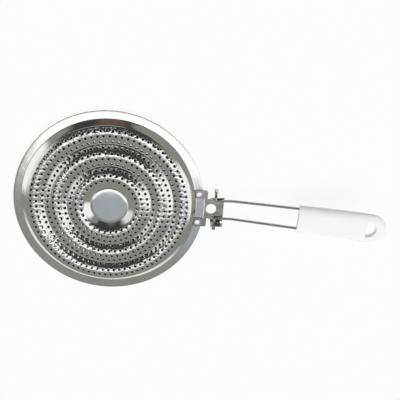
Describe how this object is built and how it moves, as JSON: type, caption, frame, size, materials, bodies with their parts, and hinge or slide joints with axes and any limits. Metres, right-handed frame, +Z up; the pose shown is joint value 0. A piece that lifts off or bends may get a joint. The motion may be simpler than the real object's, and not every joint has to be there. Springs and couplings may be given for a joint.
{
  "type": "gas hob simmer ring",
  "caption": "Perforated ridged steel disc that spreads a gas flame under a pan, with a folding wire handle and a moulded grip.",
  "frame": {"origin": "centre of the disc on the plane that it rests on", "axes": "+X from the disc's centre along the handle, +Z up, away from the flame and towards the pan"},
  "size_m": [0.3948, 0.21, 0.0538],
  "materials": {
    "plated_steel": "bright plated, mirror-like",
    "bracket_steel": "plated sheet, slightly warm grey, half bright",
    "eyelet_steel": "bright plated",
    "wire_steel": "bright plated wire",
    "white_grip": "glossy moulded plastic"
  },
  "bodies": {
    "disc": {"top_plate": "plated_steel", "bottom_plate": "plated_steel", "hinge_bracket": "bracket_steel", "eyelet_left": "eyelet_steel", "eyelet_right": "eyelet_steel"},
    "handle": {"handle_wire": "wire_steel", "grip": "white_grip"}
  },
  "joints": [
    {"name": "handle_fold", "type": "hinge", "parent": "disc", "child": "handle", "pos_m": [0.117, 0, 0.00915], "axis": [0, -1, 0], "range_deg": [0, 162]}
  ]
}
